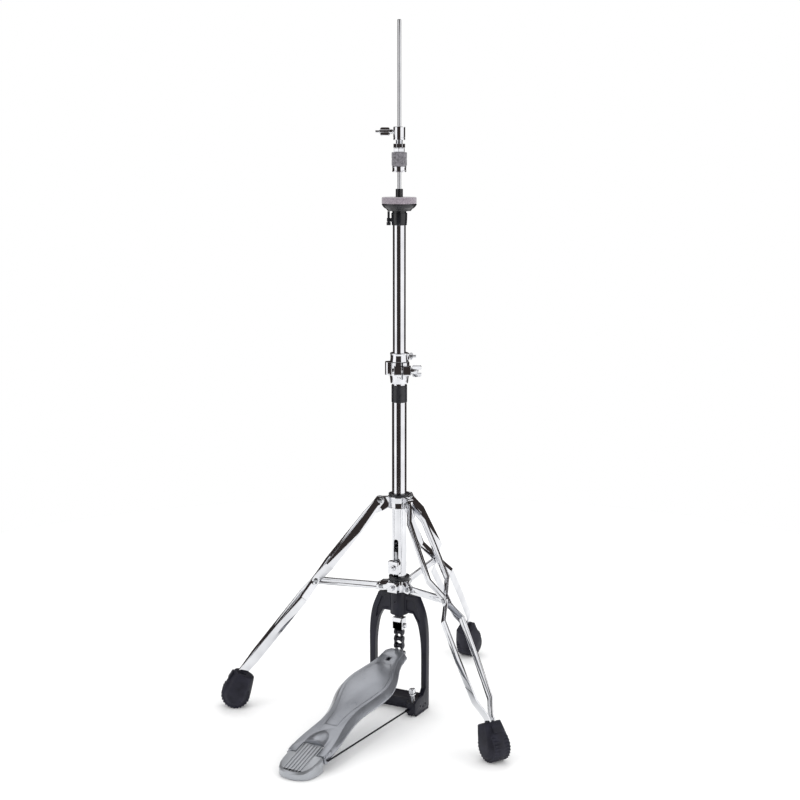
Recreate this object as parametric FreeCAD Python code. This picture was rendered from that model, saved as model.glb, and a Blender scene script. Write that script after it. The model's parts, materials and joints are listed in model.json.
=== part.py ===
import FreeCAD, Part
import math
import os

V = FreeCAD.Vector
UP = V(0, 0, 1)
RIGHT = V(1, 0, 0)
BACK = V(0, 1, 0)

# Main sizes in millimetres. The column stands on the Z axis and the pedal points along -Y.
gap = 0.3
fit = 0.05
rod_r = 3.175
rod_top = 1191.0
lower_tube_r = 12.7
lower_tube_bore = 11.5
lower_tube_z = (178.0, 600.0)
upper_tube_r = 11.1
upper_tube_bore = 9.9
upper_tube_z = (500.0, 866.0)
slot_width = 9.0
slot_z = (236.0, 306.0)

# Cast frame.
frame_half = 56.5
rail_width = 10.0
frame_half_depth = 6.0
crown_z = (173.0, 205.5)
hub_r = 16.0
hub_z = (169.0, 211.0)
pad_height = 5.0
block_top = 24.0
block_wall = 3.1
spur_y = -38.0
spur_top = (45.3, 49.0)
spur_low = (51.0, 2.0)
spur_r = 4.0
block_y = (-47.0, 6.0)
block_inner = 34.0
crossbar_y = (-17.0, 18.0)
crossbar_top = 20.0

# Pedal.
heel_y = -312.0
heel_z = 19.0
board_back = (-314.0, 27.5)
board_slope = math.degrees(math.atan(78.0 / 307.0))
board_thick = 4.0
flank_drop = 9.0
flange_depth = 12.0
flange_thick = 3.5
toe_y = -9.0
toe_pin_z = 96.2
pitch = 12.7
clevis_pin_z = toe_pin_z + 4 * pitch

hood_mouth = -292.0
notch_half = 20.0
tongue_half = 18.8
plate_low = 1.5
pin_r = 2.5
pin_end = 36.2
cheek_x = (8.0, 10.6)
inner_plate = (4.1, 6.0)
outer_plate = (6.4, 8.3)

# Tripod, as radius and height in one leg's own plane.
leg_angles = {"left": -150.0, "right": -30.0, "back": 90.0}
leg_lean = 38.19
pivot_top = (34.0, 374.6)
pivot_stay = (147.0, 231.0)
pivot_low = (33.0, 220.0)
strip_width = 15.0
strip_thick = 3.0
strip_tail = 231.0
foot_r = 25.5
foot_middle = (291.0, foot_r)
foot_lean = 24.0
foot_top = 38.0
upper_collar_z = (361.5, 382.5)
lower_collar_z = (212.0, 231.0)
collar_ring_height = 7.0
upper_ring_height = 4.5
collar_r = 18.6
ring_r = 18.6

# Clamp, memory lock and seat.
clamp_turn = 28.0
memory_z = (619.3, 634.5)
band_z = (548.5, 578.5)
housing_z = (852.0, 874.0)
cup_z = (876.0, 888.0)
felt_z = (888.0, 899.0)
sleeve_top = 913.0
seat_pivot_z = 893.0
seat_felt_r = 29.5
sleeve_r = 6.15
seat_bore = 5.0
tilt_turn = 208.0
tilt_screw_z = (852.0, 875.4)
wing_rest = 30.0

# Clutch.
clutch_turn = 208.0
clutch_collar_z = (994.0, 1016.0)
clutch_screw_z = 1008.0
clutch_tube_r = 6.0
lock_nut_z = (974.0, 988.0)
clutch_felt_z = (951.0, 974.0)
bottom_nut_z = (941.0, 951.0)

# Spring.
spring_z = (283.2, 371.8)
spring_r = 9.1
spring_wire = 1.2
seat_slug_z = (240.0, 283.0)
block_z = (246.0, 268.0)
tension_screw_z = 257.0


def box(x, y, z):
    return Part.makeBox(x[1] - x[0], y[1] - y[0], z[1] - z[0], V(x[0], y[0], z[0]))


def rod_between(start, end, r):
    line = end.sub(start)
    return Part.makeCylinder(r, line.Length, start, line)


def tube(outer, inner, z):
    solid = Part.makeCylinder(outer, z[1] - z[0], V(0, 0, z[0]))
    return solid.cut(Part.makeCylinder(inner, z[1] - z[0] + 2, V(0, 0, z[0] - 1)))


def spun(points):
    face = Part.Face(Part.makePolygon([V(r, 0, z) for r, z in points + points[:1]]))
    return face.revolve(V(0, 0, 0), UP, 360)


def slab_x(points, x):
    face = Part.Face(Part.makePolygon([V(x[0], y, z) for y, z in points + points[:1]]))
    return face.extrude(V(x[1] - x[0], 0, 0))


def slab_y(points, y):
    face = Part.Face(Part.makePolygon([V(px, y[0], z) for px, z in points + points[:1]]))
    return face.extrude(V(0, y[1] - y[0], 0))


def slab_z(points, z):
    face = Part.Face(Part.makePolygon([V(x, y, z[0]) for x, y in points + points[:1]]))
    return face.extrude(V(0, 0, z[1] - z[0]))


def joined(solids):
    whole = solids[0].multiFuse(solids[1:])
    return whole.removeSplitter()


def turned(shape, degrees):
    copy = shape.copy()
    copy.rotate(V(0, 0, 0), UP, degrees)
    return copy


def mirrored_pair(shape):
    return [shape, shape.mirror(V(0, 0, 0), RIGHT)]


def smooth_edge(points, start_way=None, end_way=None):
    curve = Part.BSplineCurve()
    if start_way:
        curve.interpolate(Points=points, InitialTangent=start_way, FinalTangent=end_way)
    else:
        curve.interpolate(points)
    return curve.toShape()


def closed_half(edges):
    both = edges + [edge.mirror(V(0, 0, 0), RIGHT) for edge in edges]
    return Part.Wire(Part.__sortEdges__(both))


def bevelled(shape, size, test):
    edges = [edge for edge in shape.Edges if test(edge)]
    return shape.makeChamfer(size, edges)


def export(node, solids):
    shape = solids[0] if len(solids) == 1 else Part.makeCompound(solids)
    for number, solid in enumerate(shape.Solids):
        if not solid.isValid():
            print("not valid:", node, number)
    print(node, len(shape.Solids), round(shape.Volume, 1))
    shape.exportStep("parts/" + node + ".step")


# The A-shaped casting that carries the column.

def arch_outline():
    outer = [(frame_half, 95), (56.8, 125), (55.5, 150), (49.5, 180), (38.5, crown_z[1])]
    inner = [(frame_half - rail_width, 95), (45.6, 120), (42.6, 142), (37.5, 160), (30, crown_z[0])]
    y = -frame_half_depth
    edges = []
    for side, turn_in in ((outer, -0.45), (inner, -0.55)):
        points = [V(x, y, z) for x, z in side]
        edges.append(smooth_edge(points, UP * 60, V(turn_in, 0, 1) * 60))
        edges.append(Part.makeLine(V(points[0].x, y, pad_height), points[0]))
        edges.append(Part.makeLine(points[-1], V(0, y, points[-1].z)))
    edges.append(Part.makeLine(V(frame_half - rail_width, y, pad_height), V(frame_half, y, pad_height)))
    return closed_half(edges)


def web_pockets():
    outline = [(16.5, 178), (30, 176.5), (37, 165), (43.5, 158), (41, 175), (32, 197), (16.5, 197)]
    front = slab_y(outline, (-frame_half_depth - 1, -3.5))
    back = slab_y(outline, (3.5, frame_half_depth + 1))
    return mirrored_pair(front) + mirrored_pair(back)


def foot_block():
    plan = [(frame_half, block_y[0]), (frame_half, block_y[1]), (block_inner, block_y[1]),
            (block_inner, -35.0), (block_inner + 6, block_y[0])]
    block = slab_z(plan, (pad_height, block_top))
    root = block_top - 1
    front = -frame_half_depth
    gusset = slab_x([(front, 40), (front, root), (-20, root)], (frame_half - rail_width, frame_half))
    side_wall = slab_x([(block_y[0], root), (block_y[0], 25), (-38, 30.5), (-16, 31), (front, 42), (front, root)],
                       (frame_half - block_wall, frame_half))
    return joined([block, gusset, side_wall])


def side_holes():
    places = [(-28.5, 15, 1.6), (-17.5, 11, 1.9), (-9, 14, 1.6)]
    return [Part.makeCylinder(r, 4, V(frame_half - 3, y, z), RIGHT) for y, z, r in places]


def spur_axis(side):
    return V(side * spur_top[0], spur_y, spur_top[1]), V(side * spur_low[0], spur_y, spur_low[1])


def spur_hole(side, r):
    top, low = spur_axis(side)
    line = low.sub(top)
    line.normalize()
    return Part.makeCylinder(r, 80, top.sub(line * 10), line)


def base_frame():
    arch = Part.Face(arch_outline()).extrude(V(0, 2 * frame_half_depth, 0))
    hub = Part.makeCylinder(hub_r, hub_z[1] - hub_z[0], V(0, 0, hub_z[0]))
    nozzle = Part.makeCylinder(8, 7, V(0, 0, 163.5))
    bar = box((-47, 47), crossbar_y, (pad_height, crossbar_top))
    blocks = mirrored_pair(foot_block())
    whole = joined([arch, hub, nozzle, bar] + blocks)
    whole = whole.cut(Part.makeCompound(web_pockets()))
    whole = whole.cut(Part.makeCylinder(lower_tube_r, 60, V(0, 0, lower_tube_z[0])))
    whole = whole.cut(Part.makeCylinder(5, 30, V(0, 0, 160)))
    whole = whole.cut(Part.makeCylinder(3, 20, V(0, -12.7, 193), V(0, -1, 0)))
    whole = whole.cut(Part.makeCompound(side_holes() + [hole.mirror(V(0, 0, 0), RIGHT) for hole in side_holes()]))
    whole = whole.cut(spur_hole(1, spur_r + fit))
    return whole.cut(spur_hole(-1, spur_r + fit))


def hub_set_screw():
    screw = Part.makeCylinder(3, 3.3, V(0, -12.7, 193), V(0, -1, 0))
    socket = Part.makeCylinder(1.6, 3, V(0, -14.2, 193), V(0, -1, 0))
    return screw.cut(socket)


def rod_guide_bush():
    return tube(5, rod_r + fit, (163.5, lower_tube_z[0]))


def rear_pad():
    return box((-22, 22), (-352, -330), (0, pad_height))


def base_pads():
    plan = [(56.2, -42), (56.2, 5), (46, 5), (46, 16), (0, 16), (0, -15), (35, -15), (35, -34),
            (39, -42)]
    half = slab_z(plan, (0, pad_height)).cut(spur_hole(1, spur_r + 0.6))
    return [joined(mirrored_pair(half)), rear_pad()]


def lower_tube():
    body = tube(lower_tube_r, lower_tube_bore, lower_tube_z)
    half = slot_width / 2
    slot = box((-half, half), (-20, -8), (slot_z[0] + half, slot_z[1] - half))
    ends = [Part.makeCylinder(half, 12, V(0, -8, z), V(0, -1, 0))
            for z in (slot_z[0] + half, slot_z[1] - half)]
    return body.cut(joined([slot] + ends))


def tube_band():
    return tube(13.5, lower_tube_r, band_z)


# Pedal casting. The board is drawn flat, its heel end at the origin, then leaned into place.

def along_board(y):
    return (y - board_back[0]) / math.cos(math.radians(board_slope))


def board_stations():
    # Distance from the heel line along -Y, half width of the flat top, half width at the flank's foot.
    return [(-314, 33, 35.5), (-290, 33, 35.8), (-266, 29.5, 35), (-239, 24.5, 32.5), (-203, 22.5, 32),
            (-174, 28, 38.5), (-145, 36.5, 47), (-122, 40.5, 49.5), (-103, 39, 46.5), (-85, 34, 41),
            (-71, 29, 35.5), (-56, 24, 29.5), (-42, 20.5, 25.5), (-30, 19.5, 24)]


def toe_corners():
    return [(-17, 18.5, 23.5), (toe_y, 11, 14)]


def board_wire(column, inset, z, heel, toe):
    side = [V(place[column] - inset, along_board(place[0]), z) for place in board_stations()]
    shoulder, tip = toe_corners()
    corner = V(shoulder[column] - inset, along_board(shoulder[0]), z)
    end = V(tip[column] - inset, toe, z)
    edges = [
        Part.makeLine(V(0, heel, z), V(side[0].x, heel, z)),
        Part.makeLine(V(side[0].x, heel, z), side[0]),
        smooth_edge(side),
        Part.makeLine(side[-1], corner),
        Part.makeLine(corner, end),
        Part.makeLine(end, V(0, toe, z)),
    ]
    return closed_half(edges)


def board_body(inset, top, low, heel, toe):
    top_wire = board_wire(1, inset, top, heel, toe)
    flank_wire = board_wire(2, inset, top - flank_drop, heel, toe)
    flanks = Part.makeLoft([flank_wire, top_wire], True, True)
    skirt = Part.Face(board_wire(2, inset, low, heel, toe)).extrude(V(0, 0, top - flank_drop - low))
    return joined([flanks, skirt])


def lean_board(shape):
    copy = shape.copy()
    copy.rotate(V(0, 0, 0), RIGHT, board_slope)
    copy.translate(V(0, board_back[0], board_back[1]))
    return copy


def raised_panel():
    measured = [(-240, 12), (-215, 12.5), (-190, 17), (-165, 24.5), (-145, 30.5), (-122, 34.5), (-103, 33),
                (-85, 28), (-70, 21), (-56, 13)]
    right = [V(half, along_board(y), -1) for y, half in measured]
    edges = [smooth_edge(right)]
    for end in (right[0], right[-1]):
        edges.append(Part.makeLine(V(0, end.y, end.z), end))
    panel = Part.Face(closed_half(edges)).extrude(V(0, 0, 2.0))
    rear = right[0].y - 1
    front = right[-1].y + 1
    rise = slab_x([(rear, -2), (rear, 0), (along_board(-195), 1), (front, 1), (front, -2)], (-40, 40))
    return panel.common(rise)


def heel_hood():
    # A bullet-shaped hood over the front of the heel plate's tongue, round about a line under the board.
    depth = 22.3
    mouth = along_board(hood_mouth)
    nose = along_board(-256)
    middle = along_board(-272)
    top = Part.Arc(V(0, mouth, 6.4), V(0, middle, 4.9), V(0, nose, -0.4)).toShape()
    low = Part.makeLine(V(0, mouth, -depth), V(0, nose, -depth))
    sides = [Part.makeLine(V(0, mouth, -depth), V(0, mouth, 6.4)),
             Part.makeLine(V(0, nose, -depth), V(0, nose, -0.4))]
    face = Part.Face(Part.Wire(Part.__sortEdges__([top, low] + sides)))
    whole = face.revolve(V(0, 0, -depth), BACK, 360)
    return whole.common(box((-30, 30), (mouth, nose), (-2, 12)))


def heel_notch():
    end = along_board(hood_mouth)
    notch = box((-notch_half, notch_half), (-30, end), (-40, 40))
    return bevelled(notch, 3, lambda edge: abs(edge.tangentAt(edge.FirstParameter).z) > 0.9
                    and edge.Vertexes[0].Point.y > 0)


def hinge_ear(x):
    ear = slab_x([(-316.5, heel_z), (-314, 26), (-300, 30), (-294, 22), (-306, 13.5)], x)
    return ear.fuse(Part.makeCylinder(6, x[1] - x[0], V(x[0], heel_y, heel_z), RIGHT))


def footboard():
    toe = along_board(toe_y)
    heel = -3.0
    flat = board_body(0, 0, -flange_depth, heel, toe)
    room = board_body(flange_thick, -board_thick, -flange_depth - 10, heel - 10, toe + 10)
    flat = flat.cut(room)
    flat = joined([flat, raised_panel(), heel_hood()])
    flat = flat.cut(heel_notch())
    window = box((-4, 4), (along_board(-46), along_board(-35)), (-20, 20))
    leaned = lean_board(flat.cut(window))
    whole = joined([leaned, hinge_ear((31.5, 35.5)), hinge_ear((-35.5, -31.5))])
    return whole.cut(Part.makeCylinder(pin_r + fit, 90, V(-45, heel_y, heel_z), RIGHT))


def toe_bracket():
    cheek = slab_x([(-26, 90), (-6, 92.5), (3, 92), (4.5, 96), (2, 100), (-7, 101.5), (-26, 96.8)],
                   cheek_x)
    top = lean_board(box((-cheek_x[1], cheek_x[1]), (along_board(-50), along_board(-12)),
                         (-board_thick - 2.5, -board_thick)))
    whole = joined(mirrored_pair(cheek) + [top])
    board_space = lean_board(box((-40, 40), (0, along_board(toe_y)), (-board_thick, 20)))
    whole = whole.cut(board_space)
    return whole.cut(Part.makeCylinder(2, 40, V(-20, 0, toe_pin_z), RIGHT))


def toe_pin():
    outer = cheek_x[1]
    shaft = Part.makeCylinder(2, 2 * outer + 1, V(-outer - 1, 0, toe_pin_z), RIGHT)
    head = Part.makeCylinder(3.2, 1.4, V(outer, 0, toe_pin_z), RIGHT)
    clip = Part.makeCylinder(3.0, 1.0, V(-outer - 1, 0, toe_pin_z), RIGHT)
    return joined([shaft, head, clip])


def heel_top(y):
    return board_back[1] + (y - board_back[0]) * math.tan(math.radians(board_slope)) - 0.4


def heel_plate():
    shoulder = -318.8
    front = hood_mouth - 1.2
    half = [(0, -367), (11, -366), (20, -362.5), (27, -356), (31.5, -346), (33, -335), (33, shoulder),
            (tongue_half, shoulder), (tongue_half, front - 3), (tongue_half - 3, front), (0, front)]
    plan = half + [(-x, y) for x, y in half[::-1]]
    side = [(-368, plate_low), (-368, heel_top(-368)), (front + 1, heel_top(front + 1)), (front + 1, 9),
            (shoulder, plate_low)]
    body = slab_z(plan, (plate_low, 40)).common(slab_x(side, (-40, 40)))
    body = bevelled(body, 3, lambda edge: edge.BoundBox.ZMin > 12 and edge.BoundBox.YMax < shoulder + 0.1
                    and edge.BoundBox.YLength > 0.5 and edge.BoundBox.XLength < 25)
    grooves = []
    for number in range(6):
        x = (number - 2.5) * 6
        rear = -363.5 + 0.012 * x * x
        grooves.append(box((x - 0.9, x + 0.9), (rear, front - 1.5), (0, 40)))
    deep = slab_x([(-380, heel_top(-380) - 1.4), (-280, heel_top(-280) - 1.4), (-280, 50), (-380, 50)], (-40, 40))
    body = body.cut(Part.makeCompound(grooves).common(deep))
    body = body.cut(rear_pad())
    return body.cut(Part.makeCylinder(pin_r, 90, V(-45, heel_y, heel_z), RIGHT))


def heel_hinge_pin():
    return Part.makeCylinder(pin_r, 2 * pin_end, V(-pin_end, heel_y, heel_z), RIGHT)


def radius_rod():
    r = 1.5
    front = V(41, block_y[0], 11)
    corner = V(38, heel_y, heel_z)
    rod = rod_between(front.sub(BACK), corner, r)
    foot = Part.makeCylinder(3, 3, V(front.x, front.y - 3, front.z), BACK)
    hook = rod_between(corner, V(pin_end, heel_y, heel_z), r)
    return joined([rod, foot, Part.makeSphere(r, corner), hook])


def spur(side):
    top, low = spur_axis(side)
    length = low.sub(top).Length
    body = Part.makeCylinder(spur_r, length - 6, V(0, 0, 6))
    tip = Part.makeCone(0.6, spur_r, 6)
    head = box((-5, 5), (-5, 5), (length - 9, length))
    head = head.common(Part.makeCylinder(6.2, 60))
    collar = Part.makeCylinder(6, 2, V(0, 0, length - 11))
    whole = joined([body, tip, head, collar])
    whole.rotate(V(0, 0, 0), BACK, math.degrees(math.atan2(top.x - low.x, top.z - low.z)))
    whole.translate(low)
    return whole


# Chain drive.

def link_plate(low, high, x):
    body = box(x, (-3.9, 3.9), (low, high))
    ends = [Part.makeCylinder(5.6, x[1] - x[0], V(x[0], 0, z), RIGHT) for z in (low, high)]
    return joined([body] + ends)


def pin_heights():
    return [clevis_pin_z - step * pitch for step in range(5)]


def hole_sizes():
    return [2.5 + fit, 2.0, 2.0, 2.0, 2.0 + 2 * gap]


def chain_plates():
    solids = []
    heights = pin_heights()
    holes = hole_sizes()
    for step in range(4):
        x = outer_plate if step % 2 == 0 else inner_plate
        plate = link_plate(heights[step + 1], heights[step], x)
        for end in (step, step + 1):
            plate = plate.cut(Part.makeCylinder(holes[end], 20, V(0, 0, heights[end]), RIGHT))
        solids += mirrored_pair(plate)
    return solids


def chain_rollers():
    solids = []
    for height, hole in zip(pin_heights(), hole_sizes()):
        roller = Part.makeCylinder(3.96, 8, V(-4, 0, height), RIGHT)
        solids.append(roller.cut(Part.makeCylinder(hole, 20, V(-10, 0, height), RIGHT)))
    return solids


def chain_pins():
    end = outer_plate[1] + 0.5
    return [Part.makeCylinder(2.0, 2 * end, V(-end, 0, height), RIGHT) for height in pin_heights()[1:4]]


def chain_clevis():
    body = box((-10.5, 10.5), (-7.5, 7.5), (141, 161.5))
    body = bevelled(body, 1.5, lambda edge: abs(edge.tangentAt(edge.FirstParameter).z) > 0.9)
    body = body.cut(box((-8.7, 8.7), (-10, 10), (140, clevis_pin_z + 6.6)))
    body = body.cut(Part.makeCylinder(rod_r, 20, V(0, 0, 155)))
    return body.cut(Part.makeCylinder(2.5, 40, V(-20, 0, clevis_pin_z), RIGHT))


def clevis_screw():
    shaft = Part.makeCylinder(2.5, 22, V(-11.5, 0, clevis_pin_z), RIGHT)
    head = Part.makeCylinder(4.5, 3.5, V(10.5, 0, clevis_pin_z), RIGHT)
    return shaft.fuse(head).removeSplitter()


# Pull rod, spring and its tension block.

def lower_pull_rod():
    return Part.makeCylinder(rod_r, 396 - 155, V(0, 0, 155))


def spring_retainer():
    return tube(10.6, rod_r, (372, 378))


def rod_coupler():
    return tube(5.2, rod_r, (384, 408))


def upper_pull_rod():
    neck = rod_r - 0.5
    line = (clutch_collar_z[1] + 0.4, clutch_collar_z[1] + 1.2)
    return spun([(0, 396), (rod_r, 396), (rod_r, line[0]), (neck, line[0]), (neck, line[1]), (rod_r, line[1]),
                 (rod_r, rod_top - 1.2), (rod_r - 1.2, rod_top), (0, rod_top)])


def return_spring():
    height = spring_z[1] - spring_z[0] - 2 * spring_wire
    helix = Part.makeHelix(height / 10, height, spring_r)
    start = V(spring_r, 0, 0)
    profile = Part.Wire([Part.makeCircle(spring_wire, start, BACK)])
    coil = Part.Wire(helix.Edges).makePipeShell([profile], True, True)
    coil.translate(V(0, 0, spring_z[0] + spring_wire))
    return coil


def spring_seat():
    slug = tube(lower_tube_bore - gap, rod_r + 2 * gap, seat_slug_z)
    return slug.cut(Part.makeCylinder(2.5, 12, V(0, -5, tension_screw_z), V(0, -1, 0)))


def tension_block():
    body = box((-10.5, 10.5), (-24, -lower_tube_r - gap), block_z)
    body = bevelled(body, 1.5, lambda edge: abs(edge.tangentAt(edge.FirstParameter).z) > 0.9)
    return body.cut(Part.makeCylinder(2.5, 40, V(0, 0, tension_screw_z), V(0, -1, 0)))


def tension_screw():
    shaft = Part.makeCylinder(2.5, 20, V(0, -5, tension_screw_z), V(0, -1, 0))
    flange = Part.makeCylinder(5, 1.5, V(0, -24, tension_screw_z), V(0, -1, 0))
    head = box((-3, 3), (-31, -25), (tension_screw_z - 3, tension_screw_z + 3))
    return joined([shaft, flange, head])


# Tripod.

def collar(z, ring_up, outer, ring_outer):
    shell = tube(outer, 15.2, z)
    bush = tube(15.2, lower_tube_r + fit, z)
    ring = tube(ring_outer, lower_tube_r + fit, (z[1], z[1] + ring_up))
    return shell, bush.fuse(ring).removeSplitter()


def radial_ear(points, middle, r, across):
    body = slab_y(points, across)
    body = body.fuse(Part.makeCylinder(r, across[1] - across[0], V(middle[0], across[0], middle[1]), BACK))
    return body


def upper_ear():
    root = 16.0
    low = upper_collar_z[0] - 3.5
    outline = [(root, low + 4), (30, low - 3), (44, low - 7.5), (48, low - 4.5), (pivot_top[0] + 6, pivot_top[1] - 4),
               (pivot_top[0] - 1, pivot_top[1] + 7.4), (root, upper_collar_z[1] - 0.5)]
    return radial_ear(outline, pivot_top, 7.5, (-2.0, 2.0))


def lower_ears():
    root = 16.0
    outline = [(root, 212.6), (pivot_low[0], 212.6), (pivot_low[0], 227.4), (28, 230.8), (root, 230.8)]
    return [radial_ear(outline, pivot_low, 7.4, across) for across in ((1.8, 4.6), (-4.6, -1.8))]


def upper_collar():
    shell = collar(upper_collar_z, upper_ring_height, collar_r, ring_r)[0]
    rims = [tube(collar_r + 0.9, collar_r - 1, (upper_collar_z[0], upper_collar_z[0] + 2.5)),
            tube(collar_r + 0.9, collar_r - 1, (upper_collar_z[1] - 2.5, upper_collar_z[1]))]
    ears = [turned(upper_ear(), angle) for angle in leg_angles.values()]
    whole = joined([shell] + rims + ears)
    whole = whole.cut(Part.makeCylinder(15.2, 80, V(0, 0, upper_collar_z[0] - 10)))
    return whole.cut(tube(ring_r + gap, 14, (upper_collar_z[1], upper_collar_z[1] + 20)))


def upper_collar_bush():
    return collar(upper_collar_z, upper_ring_height, collar_r, ring_r)[1]


def lower_collar():
    shell = collar(lower_collar_z, collar_ring_height, collar_r + 1, ring_r)[0]
    ears = []
    for angle in leg_angles.values():
        ears += [turned(ear, angle) for ear in lower_ears()]
    lug = box((-9.5, 9.5), (-27, -17), (213, 230.5))
    whole = joined([shell, lug] + ears)
    whole = whole.cut(Part.makeCylinder(15.2, 60, V(0, 0, 200)))
    for angle in leg_angles.values():
        hole = Part.makeCylinder(2.5, 14, V(pivot_low[0], -7, pivot_low[1]), BACK)
        whole = whole.cut(turned(hole, angle))
    return whole.cut(Part.makeCylinder(3, 20, V(0, -14, 221.5), V(0, -1, 0)))


def lower_collar_bush():
    bush = collar(lower_collar_z, collar_ring_height, collar_r + 1, ring_r)[1]
    return bush.cut(Part.makeCylinder(3, 10, V(0, -10, 221.5), V(0, -1, 0)))


def swivel_lock_screw():
    shaft = Part.makeCylinder(3, 14.0, V(0, -13.0, 221.5), V(0, -1, 0))
    head = box((-3.5, 3.5), (-33, -27), (218, 225))
    return shaft.fuse(head).removeSplitter()


def lower_collar_rivets():
    solids = []
    for angle in leg_angles.values():
        shaft = Part.makeCylinder(2.5, 9.2, V(pivot_low[0], -4.6, pivot_low[1]), BACK)
        heads = [Part.makeCylinder(4, 1.2, V(pivot_low[0], y, pivot_low[1]), BACK) for y in (-5.8, 4.6)]
        solids.append(turned(joined([shaft] + heads), angle))
    return solids


def stay(angle):
    low = V(pivot_low[0], 0, pivot_low[1])
    high = V(pivot_stay[0], 0, pivot_stay[1])
    length = high.sub(low).Length
    bar = box((0, length), (-1.5, 1.5), (-6.5, 6.5))
    ends = [Part.makeCylinder(6.5, 3, V(x, -1.5, 0), BACK) for x in (0, length)]
    whole = joined([bar] + ends)
    for x in (0, length):
        whole = whole.cut(Part.makeCylinder(2.5 + fit, 8, V(x, -4, 0), BACK))
    rise = math.degrees(math.atan2(high.z - low.z, high.x - low.x))
    whole.rotate(V(0, 0, 0), BACK, -rise)
    whole.translate(low)
    return turned(whole, angle)


# A leg is drawn along X with its top pivot at the origin, then leaned down and swung round.

def lay_leg(shape, angle):
    copy = shape.copy()
    copy.rotate(V(0, 0, 0), BACK, 90 - leg_lean)
    copy.translate(V(pivot_top[0], 0, pivot_top[1]))
    return turned(copy, angle)


def stay_distance():
    return math.hypot(pivot_stay[0] - pivot_top[0], pivot_stay[1] - pivot_top[1])


def strip_path():
    stay_at = stay_distance()
    return [(-7.5, 2.3), (9, 2.3), (36, 13.5), (stay_at - 39, 17.3), (stay_at - 8, 1.8), (stay_at + 8, 1.8),
            (stay_at + 35, 17), (stay_at + 107, 16.4), (stay_at + 177, 14), (stay_at + 206, 3),
            (stay_at + strip_tail, 3)]


def leg_strip():
    inner = strip_path()
    outer = []
    for place, offset in inner:
        outer.append((place, offset + strip_thick))
    outline = inner + outer[::-1]
    half = strip_width / 2
    band = slab_z(outline, (-half, half))
    top_end = Part.makeCylinder(half, 60, V(0, -30, 0), BACK)
    rest = box((0, 500), (-40, 40), (-half, half))
    band = band.common(joined([top_end, rest]))
    holes = [Part.makeCylinder(2.5, 60, V(x, -30, 0), BACK) for x in (0, stay_distance(), foot_pin_at())]
    return band.cut(Part.makeCompound(holes))


def leg_strips(angle):
    one = leg_strip()
    other = one.mirror(V(0, 0, 0), BACK)
    return [lay_leg(one, angle), lay_leg(other, angle)]


def leg_rivets(angle):
    solids = []
    for side in (1, -1):
        stud = Part.makeCylinder(2.5, 3.0, V(0, 2.3, 0), BACK)
        head = Part.makeCylinder(4, 1.2, V(0, 5.3, 0), BACK)
        rivet = stud.fuse(head).removeSplitter()
        if side < 0:
            rivet = rivet.mirror(V(0, 0, 0), BACK)
        solids.append(rivet)
    middle = stay_distance()
    shaft = Part.makeCylinder(2.5, 9.6, V(middle, -4.8, 0), BACK)
    heads = [Part.makeCylinder(4, 1.2, V(middle, y, 0), BACK) for y in (-6.0, 4.8)]
    solids.append(joined([shaft] + heads))
    solids.append(foot_pin())
    return [lay_leg(solid, angle) for solid in solids]


def foot_pin_at():
    return stay_distance() + strip_tail - 12


def foot_pin():
    return Part.makeCylinder(2.5, 28, V(foot_pin_at(), -14, 0), BACK)


def foot_body():
    dome = Part.makeSphere(foot_r)
    cup = spun([(0, 0), (foot_r, 0), (foot_r - 0.6, 8), (21.5, 26), (19, foot_top - 1), (18, foot_top), (0, foot_top)])
    cheeks = slab_x([(-15.5, foot_top), (15.5, foot_top), (21.3, 4), (21.3, -30), (-21.3, -30), (-21.3, 4)],
                    (-40, 40))
    body = dome.fuse(cup).removeSplitter().common(cheeks)
    body.rotate(V(0, 0, 0), BACK, -foot_lean)
    return body


def foot(angle):
    body = foot_body()
    body.translate(V(foot_middle[0], 0, foot_middle[1]))
    body = body.common(Part.makeBox(200, 200, 200, V(200, -100, 0)))
    body = turned(body, angle)
    body = body.cut(Part.makeCompound(leg_strips(angle)))
    return body.cut(lay_leg(foot_pin(), angle))


# Height clamp and memory lock. They are drawn facing -Y, then turned.

def clamp_body():
    ring = spun([(lower_tube_r, 581), (14.5, 581), (15.2, 583), (16.5, 596), (17.5, 598), (17.5, 617),
                 (16.5, 619), (lower_tube_r, 619)])
    block = box((-24.5, -10), (-11, 9), (596.5, 619))
    block = block.makeFillet(7, [edge for edge in block.Edges if edge.BoundBox.XMax < -24 and edge.BoundBox.ZLength > 1])
    lugs = box((-9, 20), (-22, -8), (597, 613))
    whole = joined([ring, block, lugs])
    whole = whole.cut(Part.makeCylinder(lower_tube_r, 60, V(0, 0, 570)))
    whole = whole.cut(box((4, 6), (-40, -10), (590, 630)))
    whole = whole.cut(clamp_screw())
    return turned(whole, clamp_turn)


def clamp_screw():
    shaft = Part.makeCylinder(3, 42, V(-9, -18, 605), RIGHT)
    head = Part.makeCylinder(4.8, 3, V(-12, -18, 605), RIGHT)
    return shaft.fuse(head).removeSplitter()


def clamp_bolt():
    return turned(clamp_screw(), clamp_turn)


def clamp_liner():
    return tube(lower_tube_r, upper_tube_r + fit, (lower_tube_z[1] + 0.2, 619))


def wing(span, thick, root, reach):
    plate = box((root, reach), (-thick / 2, thick / 2), (-span / 2, span / 2))
    return bevelled(plate, 2, lambda edge: abs(edge.tangentAt(edge.FirstParameter).y) > 0.9)


def clamp_wing_nut():
    hub = Part.makeCone(6, 4.6, 10, V(0, 0, 0), RIGHT)
    plate = wing(24, 3, 2, 17.5)
    room = box((9.5, 30), (-4, 4), (-4.2, 4.2))
    nut = hub.fuse(plate.cut(room)).removeSplitter()
    nut = nut.cut(Part.makeCylinder(3 + fit, 60, V(-20, 0, 0), RIGHT))
    nut.rotate(V(0, 0, 0), RIGHT, wing_rest)
    nut.translate(V(20 + gap, -18, 605))
    return turned(nut, clamp_turn)


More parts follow.
